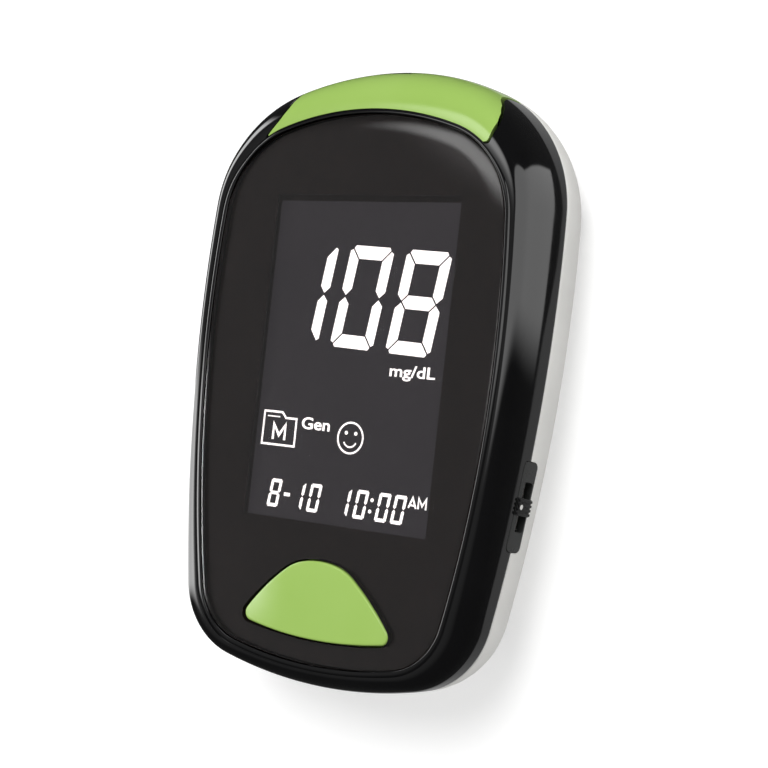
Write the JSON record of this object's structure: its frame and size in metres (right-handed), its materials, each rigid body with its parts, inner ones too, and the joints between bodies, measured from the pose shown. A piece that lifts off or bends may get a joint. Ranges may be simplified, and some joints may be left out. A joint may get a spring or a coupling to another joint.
{
  "type": "blood glucose meter",
  "caption": "Pocket blood glucose meter with a smoked lens over a large display, a domed main button, a side slide switch and a battery door behind.",
  "frame": {"origin": "on the flat back, in the middle of the body's width and length", "axes": "+Z comes out of the display, +Y points to the end that takes the test strip, +X is to the right of somebody reading the display"},
  "size_m": [0.061, 0.096, 0.024],
  "materials": {
    "black_gloss": "high-gloss moulded ABS, black",
    "green_gloss": "high-gloss moulded ABS, light green",
    "smoked_lens": "polished acrylic with a dark smoked tint",
    "white_satin": "satin moulded ABS, white",
    "black_foam": "thin black foam tape",
    "black_rubber": "silicone rubber, black",
    "switch_steel": "stamped cover of a small switch",
    "lcd_glass": "two glass plates with a dark violet polariser",
    "frame_white": "matt white plastic",
    "light_guide": "clear light guide over a white reflector",
    "lamp_white": "white lamp bodies",
    "zebra": "layered conductive rubber, grey",
    "board_green": "glass-fibre board under green lacquer",
    "chip_black": "black moulding compound",
    "crystal_can": "drawn can of a small crystal",
    "ceramic_tan": "tan ceramic",
    "connector_ivory": "ivory nylon",
    "gold_plate": "gold-plated spring bronze",
    "plate_grey": "satin moulded plastic, dark grey",
    "knob_black": "matt moulded plastic, black",
    "cell_sleeve": "plain silver sleeve, satin",
    "nickel_spring": "nickel-plated spring steel",
    "grey_knob": "matt moulded plastic, dark grey",
    "zinc_screw": "zinc-plated steel",
    "label_film": "matt silver film, unprinted"
  },
  "bodies": {
    "case": {"front_shell": "black_gloss", "top_fascia": "green_gloss", "display_lens": "smoked_lens", "lens_tape": "black_foam", "main_switch": "switch_steel", "lcd_gasket": "black_foam", "lcd_glass": "lcd_glass", "lcd_frame": "frame_white", "backlight_panel": "light_guide", "backlight_leds": "lamp_white", "elastomer_connector": "zebra", "main_pcb": "board_green", "processor_chip": "chip_black", "amplifier_chip": "chip_black", "memory_chip": "chip_black", "crystal": "crystal_can", "chip_parts": "ceramic_tan", "buzzer": "chip_black", "strip_connector": "connector_ivory", "strip_contacts": "gold_plate", "side_plate": "plate_grey", "slide_switch": "switch_steel", "rear_cover": "white_satin", "left_battery": "cell_sleeve", "right_battery": "cell_sleeve", "positive_contact": "nickel_spring", "negative_contact": "nickel_spring", "bridge_contact": "nickel_spring", "set_switch": "switch_steel", "case_screws": "zinc_screw", "pcb_screws": "zinc_screw", "rating_label": "label_film"},
    "main_button_body": {"main_button": "green_gloss", "switch_plunger": "black_rubber"},
    "side_slider": {"slide_knob": "knob_black"},
    "door": {"battery_door": "white_satin"},
    "set_button_body": {"set_button": "grey_knob"}
  },
  "joints": [
    {"name": "main_button_press", "type": "slide", "parent": "case", "child": "main_button_body", "axis": [0, 0, -1], "range_m": [0, 0.0005], "stiffness_N_per_m": 800, "springref_m": -0.0005},
    {"name": "side_slider_slide", "type": "slide", "parent": "case", "child": "side_slider", "axis": [0.087, 0.9932, -0.0768], "range_m": [-0.0022, 0.0022]},
    {"name": "battery_door_hinge", "type": "hinge", "parent": "case", "child": "door", "pos_m": [0, -0.01945, 0.00075], "axis": [-1, 0, 0], "range_deg": [0, 80]},
    {"name": "set_button_press", "type": "slide", "parent": "case", "child": "set_button_body", "axis": [0, 0, 1], "range_m": [0, 0.0003], "stiffness_N_per_m": 500, "springref_m": -0.0004}
  ]
}
